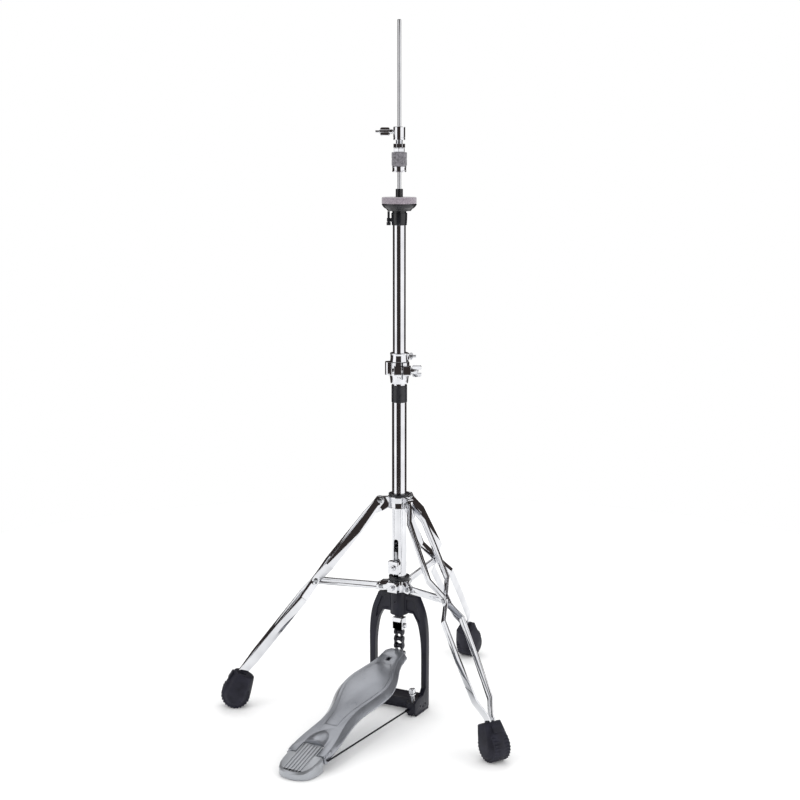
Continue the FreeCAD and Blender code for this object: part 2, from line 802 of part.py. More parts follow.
def memory_lock():
    ring = spun([(upper_tube_r + fit, memory_z[0]), (16, memory_z[0]), (15.2, 625), (15.2, 631),
                 (16, 633.5), (15.2, memory_z[1]), (upper_tube_r + fit, memory_z[1])])
    lug = box((12, 17.5), (-5, 5), (622, 633))
    whole = ring.fuse(lug).removeSplitter()
    whole = whole.cut(Part.makeCylinder(upper_tube_r + fit, 60, V(0, 0, 600)))
    whole = whole.cut(Part.makeCylinder(2.5 + fit, 20, V(5, 0, 628), RIGHT))
    return turned(whole, clamp_turn)


def memory_lock_screw():
    shaft = Part.makeCylinder(2.5, 17.3, V(upper_tube_r + gap, 0, 628), RIGHT)
    plate = wing(15, 2.6, 18.4, 23)
    plate.rotate(V(0, 0, 0), RIGHT, wing_rest)
    plate.translate(V(0, 0, 628))
    hub = Part.makeCylinder(3.6, 6, V(17.8, 0, 628), RIGHT)
    return turned(joined([shaft, plate, hub]), clamp_turn)


# Seat for the bottom cymbal.

def upper_tube():
    return tube(upper_tube_r, upper_tube_bore, upper_tube_z)


def seat_housing():
    body = spun([(0, housing_z[0]), (12.7, housing_z[0]), (13.4, 862), (13.6, housing_z[1]), (0, housing_z[1])])
    lug = turned(box((10, 21), (-4, 4), (858, 864)), tilt_turn)
    whole = joined([body, lug])
    whole = whole.cut(Part.makeSphere(24 + gap, V(0, 0, seat_pivot_z)))
    whole = whole.cut(Part.makeCylinder(upper_tube_r, 40, V(0, 0, upper_tube_z[1] - 40)))
    whole = whole.cut(Part.makeCylinder(rod_r + 1.5, 60, V(0, 0, 840)))
    hole = Part.makeCylinder(2 + fit, 40, V(18, 0, 840))
    return whole.cut(turned(hole, tilt_turn))


def seat_cup():
    body = spun([(sleeve_r, 870), (16, 870), (16, cup_z[0]), (20, cup_z[0]), (23, 880), (26.5, 882.5),
                 (29.5, 886), (29.5, cup_z[1]), (sleeve_r, cup_z[1])])
    below = Part.makeCylinder(40, 30, V(0, 0, cup_z[0] - 30))
    ball = Part.makeSphere(24, V(0, 0, seat_pivot_z)).common(Part.makeCylinder(12, 40, V(0, 0, 860)))
    whole = body.cut(below).fuse(ball.common(below)).removeSplitter()
    return whole.cut(Part.makeCylinder(sleeve_r, 60, V(0, 0, 860)))


def seat_sleeve():
    low = seat_pivot_z - math.sqrt(24 ** 2 - sleeve_r ** 2)
    return tube(sleeve_r, seat_bore, (low + 0.5, sleeve_top))


def seat_felt():
    return tube(seat_felt_r, sleeve_r, felt_z)


def seat_tilt_screw():
    low, high = tilt_screw_z
    shaft = Part.makeCylinder(2, high - low, V(18, 0, low))
    knob = Part.makeCylinder(3.6, 5, V(18, 0, low))
    slot = box((10, 26), (-0.6, 0.6), (low, low + 1.5))
    return turned(joined([shaft, knob]).cut(slot), tilt_turn)


# Clutch for the top cymbal.

def clutch_body():
    collar_body = Part.makeCylinder(10, 22, V(0, 0, clutch_collar_z[0]))
    collar_body = collar_body.makeChamfer(0.8, [e for e in collar_body.Edges if abs(e.Length - 62.83) < 0.1])
    neck = Part.makeCylinder(clutch_tube_r, clutch_collar_z[0] - bottom_nut_z[0], V(0, 0, bottom_nut_z[0]))
    whole = collar_body.fuse(neck).removeSplitter()
    whole = whole.cut(Part.makeCylinder(rod_r + fit, 100, V(0, 0, 930)))
    hole = Part.makeCylinder(3 + fit, 20, V(0, 0, clutch_screw_z), RIGHT)
    return whole.cut(turned(hole, clutch_turn))


def clutch_lock_nuts():
    lower = tube(10, clutch_tube_r, (lock_nut_z[0], 980.5))
    upper = tube(10, clutch_tube_r, (981.2, lock_nut_z[1]))
    return [lower, upper]


def clutch_felts():
    middle = (clutch_felt_z[0] + clutch_felt_z[1]) / 2
    return [tube(13, clutch_tube_r, (clutch_felt_z[0], middle)),
            tube(13, clutch_tube_r, (middle, clutch_felt_z[1]))]


def clutch_bottom_nut():
    return tube(12, clutch_tube_r, bottom_nut_z)


def clutch_wing_screw():
    shaft = Part.makeCylinder(3, 30, V(rod_r + gap, 0, clutch_screw_z), RIGHT)
    hub = Part.makeCylinder(4, 6, V(11, 0, clutch_screw_z), RIGHT)
    end = Part.makeCylinder(2.2, 9, V(31, 0, clutch_screw_z), RIGHT)
    plate = wing(15, 2.8, 16, 32)
    plate.rotate(V(0, 0, 0), RIGHT, wing_rest)
    plate.translate(V(0, 0, clutch_screw_z))
    return turned(joined([shaft, hub, end, plate]), clutch_turn)


os.makedirs("parts", exist_ok=True)
export("base_frame", [base_frame()])
export("base_pads", base_pads())
export("hub_set_screw", [hub_set_screw()])
export("rod_guide_bush", [rod_guide_bush()])
export("lower_tube", [lower_tube()])
export("tube_band", [tube_band()])
export("heel_plate", [heel_plate()])
export("heel_hinge_pin", [heel_hinge_pin()])
export("radius_rods", mirrored_pair(radius_rod()))
export("clamp_body", [clamp_body()])
export("clamp_bolt", [clamp_bolt()])
export("clamp_liner", [clamp_liner()])
export("clamp_wing_nut", [clamp_wing_nut()])
export("memory_lock", [memory_lock()])
export("memory_lock_screw", [memory_lock_screw()])
export("footboard", [footboard()])
export("toe_bracket", [toe_bracket()])
export("toe_pin", [toe_pin()])
export("chain_plates", chain_plates())
export("chain_rollers", chain_rollers() + chain_pins())
export("chain_clevis", [chain_clevis()])
export("clevis_screw", [clevis_screw()])
export("lower_pull_rod", [lower_pull_rod()])
export("rod_coupler", [rod_coupler()])
export("upper_pull_rod", [upper_pull_rod()])
export("spring_retainer", [spring_retainer()])
export("return_spring", [return_spring()])
export("spring_seat", [spring_seat()])
export("tension_block", [tension_block()])
export("tension_screw", [tension_screw()])
export("spur_left", [spur(-1)])
export("spur_right", [spur(1)])
export("upper_collar", [upper_collar()])
export("upper_collar_bush", [upper_collar_bush()])
export("lower_collar", [lower_collar()])
export("lower_collar_bush", [lower_collar_bush()])
export("lower_collar_rivets", lower_collar_rivets())
export("swivel_lock_screw", [swivel_lock_screw()])
export("upper_tube", [upper_tube()])
export("seat_housing", [seat_housing()])
export("seat_cup", [seat_cup()])
export("seat_sleeve", [seat_sleeve()])
export("seat_felt", [seat_felt()])
export("seat_tilt_screw", [seat_tilt_screw()])
export("clutch_body", [clutch_body()])
export("clutch_nuts", clutch_lock_nuts() + [clutch_bottom_nut()])
export("clutch_felts", clutch_felts())
export("clutch_wing_screw", [clutch_wing_screw()])
for side, angle in leg_angles.items():
    export("stay_" + side, [stay(angle)])
    export("leg_" + side, leg_strips(angle))
    export("foot_" + side, [foot(angle)])
    export("leg_rivets_" + side, leg_rivets(angle))
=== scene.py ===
import bpy
import bmesh
import json
import math
from mathutils import Matrix, Vector


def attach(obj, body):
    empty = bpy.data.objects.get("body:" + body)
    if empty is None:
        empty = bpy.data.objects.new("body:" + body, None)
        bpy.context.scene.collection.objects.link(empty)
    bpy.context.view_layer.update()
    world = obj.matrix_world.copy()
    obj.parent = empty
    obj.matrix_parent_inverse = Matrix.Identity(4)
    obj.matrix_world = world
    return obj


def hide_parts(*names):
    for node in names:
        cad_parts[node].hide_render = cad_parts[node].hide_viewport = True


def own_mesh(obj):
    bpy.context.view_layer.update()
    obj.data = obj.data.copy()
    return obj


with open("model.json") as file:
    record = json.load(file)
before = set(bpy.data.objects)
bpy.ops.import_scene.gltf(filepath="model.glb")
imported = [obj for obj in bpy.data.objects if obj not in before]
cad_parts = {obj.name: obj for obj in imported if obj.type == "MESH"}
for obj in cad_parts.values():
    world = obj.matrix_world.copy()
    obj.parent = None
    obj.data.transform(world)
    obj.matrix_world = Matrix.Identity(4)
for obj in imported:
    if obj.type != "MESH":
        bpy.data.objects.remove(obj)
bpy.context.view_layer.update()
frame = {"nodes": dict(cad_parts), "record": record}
mm = 0.001

bodyOf = {}
for bodyName, bodyNodes in frame["record"]["behaviour"]["bodies"].items():
    for nodeName in bodyNodes:
        bodyOf[nodeName] = bodyName
slotOf = {part["node"]: part["material_slot"] for part in frame["record"]["subparts"]}
print("stage: frame loaded")


def hexColor(code):
    channels = [int(code[i:i + 2], 16) / 255 for i in (1, 3, 5)]
    linear = [c / 12.92 if c <= 0.04045 else ((c + 0.055) / 1.055) ** 2.4 for c in channels]
    return (*linear, 1.0)


def addNode(tree, kind, settings=None, links=None):
    node = tree.nodes.new(kind)
    for key, value in (settings or {}).items():
        if isinstance(key, int) or key in node.inputs:
            node.inputs[key].default_value = value
        else:
            setattr(node, key, value)
    for key, source in (links or {}).items():
        tree.links.new(source, node.inputs[key])
    return node


def buildMaterial(name, look):
    material = bpy.data.materials.new(name)
    material.use_nodes = True
    tree = material.node_tree
    tree.nodes.clear()
    place = addNode(tree, "ShaderNodeTexCoord").outputs["Object"]
    drawn = addNode(tree, "ShaderNodeMapping", {"Scale": look.get("stretch", (1, 1, 1))}, {"Vector": place})
    patch = addNode(tree, "ShaderNodeTexNoise", {"Scale": 1000 / look["patchMm"], "Detail": 5.0},
                    {"Vector": place})
    grain = addNode(tree, "ShaderNodeTexNoise", {"Scale": 1000 / look["grainMm"],
                                                 "Detail": look.get("detail", 3.0)},
                    {"Vector": drawn.outputs["Vector"]})
    cells = addNode(tree, "ShaderNodeTexVoronoi", {"feature": "DISTANCE_TO_EDGE",
                                                   "Scale": 1000 / look["scuffMm"]}, {"Vector": place})
    scuff = addNode(tree, "ShaderNodeMapRange", {"From Max": 0.04, "To Min": 1.0, "To Max": 0.0},
                    {"Value": cells.outputs["Distance"]})
    tone = addNode(tree, "ShaderNodeMix", {0: look["grainShare"]},
                   {2: patch.outputs["Fac"], 3: grain.outputs["Fac"]})
    clear = addNode(tree, "ShaderNodeMapRange", {"From Min": 0.34, "From Max": 0.66},
                    {"Value": tone.outputs[0]})
    color = addNode(tree, "ShaderNodeMix", {"data_type": "RGBA", 6: hexColor(look["dark"]),
                                            7: hexColor(look["light"])}, {0: clear.outputs["Result"]})
    low, high = look["rough"]
    satin = addNode(tree, "ShaderNodeMapRange", {"To Min": low, "To Max": high}, {"Value": tone.outputs[0]})
    worn = addNode(tree, "ShaderNodeMath", {"operation": "MULTIPLY_ADD", 1: look["scuffRough"]},
                   {0: scuff.outputs["Result"], 2: satin.outputs["Result"]})
    bump = addNode(tree, "ShaderNodeBump", {"Distance": look["depthMm"] * mm, "Strength": look["bump"]},
                   {"Height": grain.outputs["Fac"]})
    shader = addNode(tree, "ShaderNodeBsdfPrincipled", look["shader"],
                     {"Base Color": color.outputs[2], "Roughness": worn.outputs[0],
                      "Normal": bump.outputs["Normal"]})
    addNode(tree, "ShaderNodeOutputMaterial", links={"Surface": shader.outputs["BSDF"]})
    return material


finish = {}

chromeLook = {"dark": "#cfd0d4", "light": "#dedfe2", "patchMm": 38.0, "grainMm": 16.0, "scuffMm": 9.0,
              "grainShare": 0.3, "rough": (0.03, 0.07), "scuffRough": 0.02, "depthMm": 0.01, "bump": 0.1,
              "detail": 0.0, "shader": {"Metallic": 1.0}}
finish["chrome"] = buildMaterial("nickelChromePlate", chromeLook)  # mirror plate, faint polishing waver

powderLook = {"dark": "#0b0b15", "light": "#151625", "patchMm": 30.0, "grainMm": 0.9, "scuffMm": 14.0,
              "grainShare": 0.2, "rough": (0.32, 0.44), "scuffRough": 0.06, "depthMm": 0.03, "bump": 0.5,
              "shader": {"IOR": 1.5, "Specular IOR Level": 0.28, "Coat Weight": 0.08,
                         "Coat Roughness": 0.2}}
finish["black_cast"] = buildMaterial("blackPowderCoat", powderLook)  # baked coat, fine orange peel

silverLook = {"dark": "#8b8e95", "light": "#a1a4ab", "patchMm": 42.0, "grainMm": 0.45, "scuffMm": 18.0,
              "grainShare": 0.5, "rough": (0.24, 0.33), "scuffRough": 0.04, "depthMm": 0.01, "bump": 0.3,
              "shader": {"Metallic": 0.72, "Coat Weight": 0.35, "Coat Roughness": 0.18}}
finish["silver_cast"] = buildMaterial("greyMetalFlakePaint", silverLook)  # flake paint under a clear coat

heelLook = {**silverLook, "dark": "#999ca1", "light": "#b0b3b8", "rough": (0.3, 0.4)}
heelFinish = buildMaterial("silverMetalFlakePaint", heelLook)  # the same paint mixed a little lighter

steelLook = {"dark": "#8d8f93", "light": "#b6b8bb", "patchMm": 12.0, "grainMm": 1.2, "scuffMm": 5.0,
             "grainShare": 0.6, "rough": (0.16, 0.3), "scuffRough": 0.05, "depthMm": 0.01, "bump": 0.4,
             "stretch": (1.0, 1.0, 0.08), "shader": {"Metallic": 1.0}}
finish["steel"] = buildMaterial("brightZincSteel", steelLook)  # drawn wire and stampings, fine lines

blackSteelAndShadeLook = {**steelLook, "dark": "#2c2c31", "light": "#4a4a50", "rough": (0.24, 0.42),
                 "stretch": (1.0, 1.0, 1.0)}
finish["dark_steel"] = buildMaterial("oiledBlackSteel", blackSteelAndShadeLook)  # black oxide steel, filmed with oil; on the return spring it is painted shade for the dark inside of the lower tube

nylonLook = {"dark": "#0c0d11", "light": "#17181e", "patchMm": 12.0, "grainMm": 0.6, "scuffMm": 7.0,
             "grainShare": 0.2, "rough": (0.2, 0.32), "scuffRough": 0.08, "depthMm": 0.01, "bump": 0.4,
             "shader": {"IOR": 1.53, "Specular IOR Level": 0.45}}
finish["black_plastic"] = buildMaterial("glassFilledNylon", nylonLook)  # moulded black nylon with flow marks

bandLook = {**nylonLook, "dark": "#111217", "light": "#1e1f25", "patchMm": 9.0, "rough": (0.3, 0.45)}
finish["black_band"] = buildMaterial("mattBlackLacquer", bandLook)  # lacquered band, slightly scuffed

rubberLook = {"dark": "#16161f", "light": "#262632", "patchMm": 15.0, "grainMm": 0.8, "scuffMm": 6.0,
              "grainShare": 0.35, "rough": (0.46, 0.62), "scuffRough": 0.1, "depthMm": 0.05, "bump": 0.6,
              "shader": {"IOR": 1.52, "Specular IOR Level": 0.22}}
finish["rubber"] = buildMaterial("vulcanisedRubber", rubberLook)  # dull black, chalky, fine pitted skin

feltLook = {"dark": "#5f5860", "light": "#a39aa2", "patchMm": 2.4, "grainMm": 0.9, "scuffMm": 3.0,
            "grainShare": 0.5, "rough": (0.9, 1.0), "scuffRough": 0.0, "depthMm": 0.5, "bump": 0.9,
            "stretch": (1.0, 1.0, 2.5), "shader": {"Sheen Weight": 0.4, "Sheen Roughness": 0.5,
                                                   "Specular IOR Level": 0.15}}
finish["light_felt"] = buildMaterial("mauvePressedFelt", feltLook)  # pressed wool, matted fibres

darkFeltLook = {**feltLook, "dark": "#2a292d", "light": "#8a878d", "patchMm": 3.0, "grainMm": 1.1}
finish["dark_felt"] = buildMaterial("greyPressedFelt", darkFeltLook)  # wool with dark and light flecks
print("stage: materials")


def smoothBelow(mesh, angle):
    for face in mesh.polygons:
        face.use_smooth = True
    mesh.set_sharp_from_angle(angle=math.radians(angle))


def pieceFrom(bm, name, body, slotName, replaced, material=None, smoothAngle=32.0):
    mesh = bpy.data.meshes.new(name)
    bm.to_mesh(mesh)
    bm.free()
    smoothBelow(mesh, smoothAngle)
    piece = bpy.data.objects.new(name, mesh)
    bpy.context.scene.collection.objects.link(piece)
    mesh.materials.append(material or finish[slotName])
    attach(piece, body)
    if replaced:
        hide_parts(*replaced)
    return piece


def lathed(points, steps=96):
    bm = bmesh.new()
    verts = [bm.verts.new((r * mm, 0, z * mm)) for r, z in points + points[:1]]
    edges = [bm.edges.new(pair) for pair in zip(verts, verts[1:])]
    bmesh.ops.spin(bm, geom=verts + edges, cent=(0, 0, 0), axis=(0, 0, 1), angle=math.tau, steps=steps,
                   use_merge=True)
    bmesh.ops.remove_doubles(bm, verts=bm.verts, dist=1e-6)
    bmesh.ops.recalc_face_normals(bm, faces=bm.faces)
    return bm


def softBevel(bm, width, segments=2, angle=28.0):
    sharp = [edge for edge in bm.edges if edge.is_manifold and edge.calc_face_angle(0) > math.radians(angle)]
    bmesh.ops.bevel(bm, geom=sharp, offset=width * mm, offset_type="OFFSET", affect="EDGES",
                    segments=segments, profile=0.5, material=-1, clamp_overlap=False)
    return bm


def refined(node, width=0.35, segments=2, material=None):
    bm = bmesh.new()
    bm.from_mesh(frame["nodes"][node].data)
    bmesh.ops.remove_doubles(bm, verts=bm.verts, dist=2e-6)
    bmesh.ops.dissolve_limit(bm, angle_limit=math.radians(1), verts=bm.verts, edges=bm.edges)
    if width:
        softBevel(bm, width, segments)
    name = "fine" + "".join(word.capitalize() for word in node.split("_"))
    return pieceFrom(bm, name, bodyOf[node], slotOf[node], [node], material)


def block(bm, size, spot, turn=0.0, bevel=0.3):
    # one soft-edged block, its own +X turned up towards +Z by the angle in degrees
    place = Matrix.Translation(Vector(spot) * mm) @ Matrix.Rotation(math.radians(-turn), 4, "Y")
    made = bmesh.ops.create_cube(bm, size=1.0,
                                 matrix=place @ Matrix.Diagonal((*[side * mm for side in size], 1.0)))
    edges = list({edge for vert in made["verts"] for edge in vert.link_edges})
    bmesh.ops.bevel(bm, geom=edges, offset=bevel * mm, offset_type="OFFSET", affect="EDGES", segments=2,
                    profile=0.5, material=-1, clamp_overlap=True)


columnSizes = {"lowerR": 12.7, "lowerBore": 11.5, "lowerZ": (178.0, 600.0), "upperR": 11.1,
               "upperBore": 9.9, "upperZ": (500.0, 866.0), "slotHalf": 4.5, "slotZ": (236.0, 306.0),
               "rodR": 3.175, "rodZ": (155.0, 1191.0), "joinZ": 396.0, "lineZ": (1016.4, 1017.2),
               "lineR": 2.675, "bandR": 13.5, "bandZ": (548.5, 578.5)}


def extruded(bm, way):
    pushed = bmesh.ops.extrude_face_region(bm, geom=bm.faces[:])
    moved = [item for item in pushed["geom"] if isinstance(item, bmesh.types.BMVert)]
    bmesh.ops.translate(bm, verts=moved, vec=Vector(way) * mm)


def tubeProfile(outer, inner, low, high, lip=0.4):
    return [(inner, low), (outer - lip, low), (outer, low + lip), (outer, high - lip), (outer - lip, high),
            (inner, high)]


def toolFrom(bm, name):
    mesh = bpy.data.meshes.new(name)
    bm.to_mesh(mesh)
    bm.free()
    tool = bpy.data.objects.new(name, mesh)
    bpy.context.scene.collection.objects.link(tool)
    return tool


def slotTool():
    bm = bmesh.new()
    half = columnSizes["slotHalf"]
    low, high = columnSizes["slotZ"]
    bmesh.ops.create_circle(bm, cap_ends=True, segments=48, radius=half * mm)
    bmesh.ops.rotate(bm, verts=bm.verts, cent=(0, 0, 0), matrix=Matrix.Rotation(math.radians(90), 3, "X"))
    for vert in bm.verts:
        vert.co.z += (high - half) * mm if vert.co.z > 1e-7 else (low + half) * mm
        vert.co.y = -22 * mm
    extruded(bm, (0, 15, 0))
    bmesh.ops.recalc_face_normals(bm, faces=bm.faces)
    return toolFrom(bm, "slotTool")


def carve(piece, tool):
    cut = piece.modifiers.new("cut", "BOOLEAN")
    cut.object = tool
    cut.operation = "DIFFERENCE"
    cut.solver = "EXACT"
    mesh = bpy.data.meshes.new_from_object(piece.evaluated_get(bpy.context.evaluated_depsgraph_get()))
    piece.modifiers.clear()
    piece.data = mesh
    bpy.data.objects.remove(tool)
    smoothBelow(mesh, 32)


def makeColumn():
    low, high = columnSizes["lowerZ"]
    profile = tubeProfile(columnSizes["lowerR"], columnSizes["lowerBore"], low, high)
    lower = pieceFrom(lathed(profile), "lowerTube", bodyOf["lower_tube"], "chrome", ["lower_tube"])
    carve(lower, slotTool())
    low, high = columnSizes["upperZ"]
    profile = tubeProfile(columnSizes["upperR"], columnSizes["upperBore"], low, high)
    pieceFrom(lathed(profile), "upperTube", bodyOf["upper_tube"], "chrome", ["upper_tube"])
    r = columnSizes["rodR"]
    low, top = columnSizes["rodZ"]
    join = columnSizes["joinZ"]
    lineLow, lineTop = columnSizes["lineZ"]
    neck = columnSizes["lineR"]
    rod = lathed([(0, join), (r, join), (r, lineLow), (neck, lineLow), (neck, lineTop), (r, lineTop),
                  (r, top - 1.4), (r - 0.4, top - 0.5), (r - 1.2, top), (0, top)], 48)
    pieceFrom(rod, "upperPullRod", bodyOf["upper_pull_rod"], "chrome", ["upper_pull_rod"])
    pieceFrom(lathed([(0, low), (r, low), (r, join), (0, join)], 48), "lowerPullRod",
              bodyOf["lower_pull_rod"], slotOf["lower_pull_rod"], ["lower_pull_rod"])
    low, high = columnSizes["bandZ"]
    inner = columnSizes["lowerR"]
    outer = columnSizes["bandR"]
    band = lathed([(inner, low), (outer - 0.3, low), (outer, low + 0.4), (outer, high - 0.4),
                   (outer - 0.3, high), (inner, high)])
    pieceFrom(band, "tubeBand", bodyOf["tube_band"], "black_band", ["tube_band"])


makeColumn()
print("stage: column")

seatSizes = {"feltR": 29.5, "feltZ": (888.0, 899.0), "sleeveR": 6.15, "boreR": 5.0, "sleeveTop": 913.0}


def feltDisc(outer, bore, low, high, wobble, name, body, slotName, replaced):
    bm = lathed([(bore, low), (outer - 1.2, low), (outer - 0.4, low + 0.4), (outer, low + 1.4),
                 (outer, (low + high) / 2), (outer, high - 1.4), (outer - 0.4, high - 0.4),
                 (outer - 1.2, high), ((outer + bore) / 2, high), (bore, high)], 128)
    for vert in bm.verts:  # the cut edge is a little uneven
        angle = math.atan2(vert.co.y, vert.co.x)
        radius = math.hypot(vert.co.x, vert.co.y)
        if radius > bore * mm * 1.2:
            ripple = math.sin(3 * angle + 40 * vert.co.z) + 0.6 * math.sin(7 * angle + 1.3)
            push = 1 + wobble * ripple / radius * mm
            vert.co.x *= push
            vert.co.y *= push
    piece = pieceFrom(bm, name, body, slotName, replaced, smoothAngle=60)


def makeSeat():
    r = seatSizes["sleeveR"]
    bore = seatSizes["boreR"]
    top = seatSizes["sleeveTop"]
    cup = lathed([(r, 876), (19.2, 876), (19.9, 876.3), (20.4, 877.2), (22.0, 879.2), (23.0, 880.0),
                  (24.6, 880.6), (26.4, 882.2), (28.6, 885.0), (29.2, 886.0), (29.45, 886.6), (29.5, 887.2),
                  (29.2, 888), (r, 888)])
    pieceFrom(cup, "seatCup", "seat", "black_plastic", ["seat_cup"], smoothAngle=40)
    ball = lathed([(r, 869.9), (8, 870.4), (10, 871.2), (12, 872.2), (12, 876), (r, 876)])
    pieceFrom(ball, "seatBall", "seat", "black_plastic", [])
    low, high = seatSizes["feltZ"]
    feltDisc(seatSizes["feltR"], r, low, high, 0.18, "seatFelt", "seat", "light_felt", ["seat_felt"])
    sleeve = lathed([(bore, 870.3), (r, 870.3), (r, top - 0.8), (r - 0.25, top - 0.2), (r - 0.55, top),
                     (bore + 0.2, top - 0.2), (bore, top - 0.6)])
    pieceFrom(sleeve, "seatSleeve", "seat", "black_plastic", ["seat_sleeve"])
    refined("seat_housing", 0.5)
    refined("seat_tilt_screw", 0.3)


clutchSizes = {"tubeR": 6.0, "feltR": 13.0, "feltZ": (951.0, 974.0), "flats": 17.3,
               "upperNut": (981.2, 988.0), "lowerNut": (974.0, 980.6), "nutTurn": 22.0}


def hexNut(span, flats, turn):
    bm = bmesh.new()
    bmesh.ops.create_circle(bm, cap_ends=True, segments=6, radius=flats / math.sqrt(3) * mm)
    extruded(bm, (0, 0, span[1] - span[0]))
    bmesh.ops.translate(bm, verts=bm.verts, vec=(0, 0, span[0] * mm))
    bmesh.ops.rotate(bm, verts=bm.verts, cent=(0, 0, 0), matrix=Matrix.Rotation(math.radians(turn), 3, "Z"))
    bmesh.ops.recalc_face_normals(bm, faces=bm.faces)
    return softBevel(bm, 0.6, 3)


def makeClutch():
    r = clutchSizes["tubeR"]
    body = [(3.23, 941), (r, 941), (r, 988.4)]
    for turn in range(4):  # the last threads show above the upper nut
        body += [(r - 0.6, 989.0 + turn * 1.2), (r, 989.6 + turn * 1.2)]
    body += [(r, 994), (9.2, 994), (10, 994.8), (10, 997.2), (9.6, 997.6), (9.6, 998.2), (10, 998.6),
             (10, 1015.2), (9.2, 1016), (3.23, 1016)]
    pieceFrom(lathed(body), "clutchBody", "clutch", "chrome", ["clutch_body"])
    pieceFrom(hexNut(clutchSizes["upperNut"], clutchSizes["flats"], 0), "clutchNutUpper", "clutch", "chrome",
              ["clutch_nuts"])
    pieceFrom(hexNut(clutchSizes["lowerNut"], clutchSizes["flats"], clutchSizes["nutTurn"]),
              "clutchNutLower", "clutch", "chrome", [])
    nut = lathed([(r, 941), (11, 941), (12, 942), (12, 943.6), (11.6, 944), (11.6, 948.4), (12, 948.8),
                  (12, 950), (11.2, 951), (r, 951)])
    pieceFrom(nut, "clutchFootNut", "clutch", "chrome", [])
    low, high = clutchSizes["feltZ"]
    middle = (low + high) / 2
    feltDisc(clutchSizes["feltR"], r, low, middle, 0.1, "clutchFeltLower", "clutch", "dark_felt",
             ["clutch_felts"])
    feltDisc(clutchSizes["feltR"], r, middle, high, 0.12, "clutchFeltUpper", "clutch", "dark_felt", [])
    refined("clutch_wing_screw", 0.4)


makeSeat()
makeClutch()
print("stage: seat and clutch")

for nodeName in ("clamp_body", "base_frame", "footboard"):
    refined(nodeName, 0.6, 3)
refined("heel_plate", 0.6, 3, heelFinish)
for nodeName in ("clamp_bolt", "clamp_wing_nut", "memory_lock", "memory_lock_screw", "toe_bracket",
                 "chain_clevis", "clevis_screw", "tension_block", "tension_screw", "upper_collar",
                 "lower_collar", "swivel_lock_screw", "lower_collar_rivets", "upper_collar_bush",
                 "lower_collar_bush"):
    refined(nodeName, 0.35)
for nodeName in ("chain_plates", "chain_rollers", "toe_pin", "base_pads", "spring_seat", "heel_hinge_pin"):
    refined(nodeName, 0.25)
for nodeName in ("radius_rods", "rod_coupler", "spring_retainer", "rod_guide_bush", "hub_set_screw",
                 "clamp_liner"):
    refined(nodeName, 0)
print("stage: castings and drive")


def makeSpring():
    bm = bmesh.new()
    bm.from_mesh(frame["nodes"]["return_spring"].data)
    bmesh.ops.remove_doubles(bm, verts=bm.verts, dist=2e-6)
    # the spring takes the dark black steel finish, not its own steel slot: painted shade for the dark inside
    # of the lower tube seen through the slot
    piece = pieceFrom(bm, "returnSpring", "stand", "steel", ["return_spring"], finish["dark_steel"], 60)
    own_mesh(piece)


makeSpring()

spurSizes = {"topX": 45.3, "topZ": 49.0, "lowX": 51.0, "lowZ": 2.0, "y": -38.0, "r": 4.0, "pitch": 1.5,
             "cut": 0.5}


def makeSpur(side, sign):
    lean = Vector(((spurSizes["topX"] - spurSizes["lowX"]) * sign, 0, spurSizes["topZ"] - spurSizes["lowZ"]))
    length = lean.length
    r = spurSizes["r"]
    profile = [(0, 0), (0.6, 0), (r, 6)]
    turns = int((length - 11 - 6.5) / spurSizes["pitch"])
    for turn in range(turns):
        z = 6.5 + turn * spurSizes["pitch"]
        profile += [(r, z), (r - spurSizes["cut"], z + spurSizes["pitch"] * 0.5)]
    profile += [(r, length - 11), (5.6, length - 11), (6, length - 10.6), (6, length - 9.4),
                (5.6, length - 9), (0, length - 9)]
    bm = lathed(profile, 40)
    block(bm, (8.8, 8.8, 9), (0, 0, length - 4.5), bevel=0.8)
    tilt = Vector((0, 0, 1)).rotation_difference(lean).to_matrix().to_4x4()
    place = Matrix.Translation(Vector((spurSizes["lowX"] * sign, spurSizes["y"], spurSizes["lowZ"])) * mm)
    bmesh.ops.transform(bm, matrix=place @ tilt, verts=bm.verts)
    pieceFrom(bm, "spur" + side.capitalize(), bodyOf["spur_" + side], slotOf["spur_" + side],
              ["spur_" + side])


makeSpur("left", -1)
makeSpur("right", 1)
print("stage: spurs")

footSizes = {"r": 25.5, "reach": 291.0, "lean": 24.0, "treadWide": 30.0, "teeth": 27, "grooveDeep": 1.5,
             "bossWide": 19.0, "bossTall": 15.0, "bossThick": 1.4, "bossZ": 26.5, "bossR": 21.4,
             "wallLean": 10.7}
legAngles = {"left": -150.0, "right": -30.0, "back": 90.0}


def standFoot(bm, side):
    place = Matrix.Rotation(math.radians(legAngles[side]), 4, "Z")
    place = place @ Matrix.Translation(Vector((footSizes["reach"], 0, footSizes["r"])) * mm)
    place = place @ Matrix.Rotation(math.radians(-footSizes["lean"]), 4, "Y")
    bmesh.ops.transform(bm, matrix=place, verts=bm.verts)


def toothedDisc():
    # four points to a tooth: two on its flat tip and two on the floor of the groove beside it
    bm = bmesh.new()
    rim = bmesh.ops.create_circle(bm, cap_ends=True, segments=4 * footSizes["teeth"],
                                  radius=footSizes["r"] * mm)
    for number, vert in enumerate(rim["verts"]):
        if number % 4 > 1:
            vert.co *= 1 - footSizes["grooveDeep"] / footSizes["r"]
    extruded(bm, (0, 0, footSizes["treadWide"]))
    bmesh.ops.translate(bm, verts=bm.verts, vec=(0, 0, -footSizes["treadWide"] / 2 * mm))
    bmesh.ops.rotate(bm, verts=bm.verts, cent=(0, 0, 0), matrix=Matrix.Rotation(math.radians(90), 3, "X"))
    bmesh.ops.recalc_face_normals(bm, faces=bm.faces)
    return softBevel(bm, 0.35, 2)


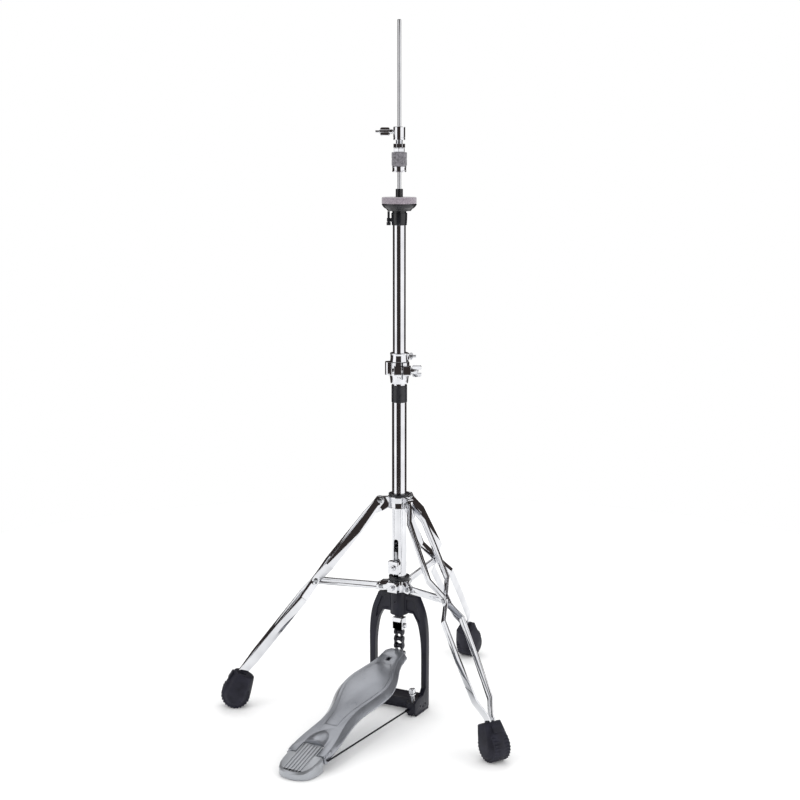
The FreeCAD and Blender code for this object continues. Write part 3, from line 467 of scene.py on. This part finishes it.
def makeFoot(side):
    refined("foot_" + side, 0.8, 3)
    bm = toothedDisc()
    z = footSizes["bossZ"]
    size = (2 * footSizes["bossThick"], footSizes["bossWide"], footSizes["bossTall"])
    block(bm, size, (footSizes["bossR"], 0, z), footSizes["wallLean"], 0.9)
    standFoot(bm, side)
    pieceFrom(bm, "footTread" + side.capitalize(), bodyOf["foot_" + side], slotOf["foot_" + side], [])


for sideName in legAngles:
    refined("stay_" + sideName, 0.4)
    refined("leg_" + sideName, 0.45)
    refined("leg_rivets_" + sideName, 0.3)
    makeFoot(sideName)
print("stage: tripod")

cameraFit = {"distance": 2.504, "height": 0.9866, "focus": 1471.12, "tilt": 0.171977, "turn": 0.48935,
             "centre": 399.28, "frameWide": 800, "sensor": 36}
studio = {"floor": "#f6f6f6", "backdrop": 1.0, "fill": 1.0, "mirror": 0.045, "reach": 1.55, "aimHeight": 0.6}
panels = {  # turn from the camera, distance, height, width, tall, watts
    "leftPanel": (-65.5, 2.4, 0.8, 1.9, 3.2, 25.0),
    "rightPanel": (59.5, 2.4, 0.8, 3.5, 3.2, 44.0),
    "topPanel": (175.0, 2.0, 2.7, 2.8, 2.2, 26.0),
}


def makeFloor():
    bm = bmesh.new()
    bmesh.ops.create_circle(bm, cap_ends=True, segments=96, radius=studio["reach"])
    mesh = bpy.data.meshes.new("studioFloor")
    bm.to_mesh(mesh)
    bm.free()
    floor = bpy.data.objects.new("studioFloor", mesh)
    bpy.context.scene.collection.objects.link(floor)
    material = bpy.data.materials.new("mattFloorPaint")  # plain emulsion on a studio floor
    material.use_nodes = True
    tree = material.node_tree
    tree.nodes.clear()
    shader = addNode(tree, "ShaderNodeBsdfPrincipled", {"Base Color": hexColor(studio["floor"]),
                                                        "Roughness": 0.8})
    addNode(tree, "ShaderNodeOutputMaterial", links={"Surface": shader.outputs["BSDF"]})
    mesh.materials.append(material)


def makeWorld():
    world = bpy.data.worlds.new("studioSurround")
    bpy.context.scene.world = world
    world.use_nodes = True
    tree = world.node_tree
    tree.nodes.clear()
    ray = addNode(tree, "ShaderNodeLightPath")
    pale = addNode(tree, "ShaderNodeBackground", {"Color": (1, 1, 1, 1), "Strength": studio["backdrop"]})
    soft = addNode(tree, "ShaderNodeBackground", {"Color": (1, 1, 1, 1), "Strength": studio["fill"]})
    dark = addNode(tree, "ShaderNodeBackground", {"Color": (1.0, 0.82, 0.78, 1),
                                                  "Strength": studio["mirror"]})
    mirror = addNode(tree, "ShaderNodeMixShader", links={0: ray.outputs["Is Glossy Ray"], 1: soft.outputs[0],
                                                         2: dark.outputs[0]})
    whole = addNode(tree, "ShaderNodeMixShader", links={0: ray.outputs["Is Camera Ray"], 1: mirror.outputs[0],
                                                        2: pale.outputs[0]})
    addNode(tree, "ShaderNodeOutputWorld", links={"Surface": whole.outputs[0]})


def softbox(name, turn, distance, height, width, tall, watts):
    data = bpy.data.lights.new(name, "AREA")
    data.shape = "RECTANGLE"
    data.size = width
    data.size_y = tall
    data.energy = watts
    lamp = bpy.data.objects.new(name, data)
    bpy.context.scene.collection.objects.link(lamp)
    angle = cameraFit["turn"] + math.radians(turn)
    lamp.location = (distance * math.sin(angle), -distance * math.cos(angle), height)
    aim = Vector((0, 0, studio["aimHeight"])) - Vector(lamp.location)
    lamp.rotation_euler = aim.to_track_quat("-Z", "Y").to_euler()
    lamp.visible_camera = False


def makeCamera():
    data = bpy.data.cameras.new("studioCamera")
    data.sensor_width = cameraFit["sensor"]
    data.lens = cameraFit["sensor"] * cameraFit["focus"] / cameraFit["frameWide"]
    data.shift_x = (cameraFit["frameWide"] / 2 - cameraFit["centre"]) / cameraFit["frameWide"]
    camera = bpy.data.objects.new("studioCamera", data)
    turn = cameraFit["turn"]
    away = cameraFit["distance"]
    camera.location = (away * math.sin(turn), -away * math.cos(turn), cameraFit["height"])
    camera.rotation_euler = (math.pi / 2 - cameraFit["tilt"], 0, turn)
    bpy.context.scene.collection.objects.link(camera)
    bpy.context.scene.camera = camera


makeFloor()
makeWorld()
for panelName, panelSizes in panels.items():
    softbox(panelName, *panelSizes)
makeCamera()
bpy.context.scene.view_settings.view_transform = "Standard"
print("stage: studio")
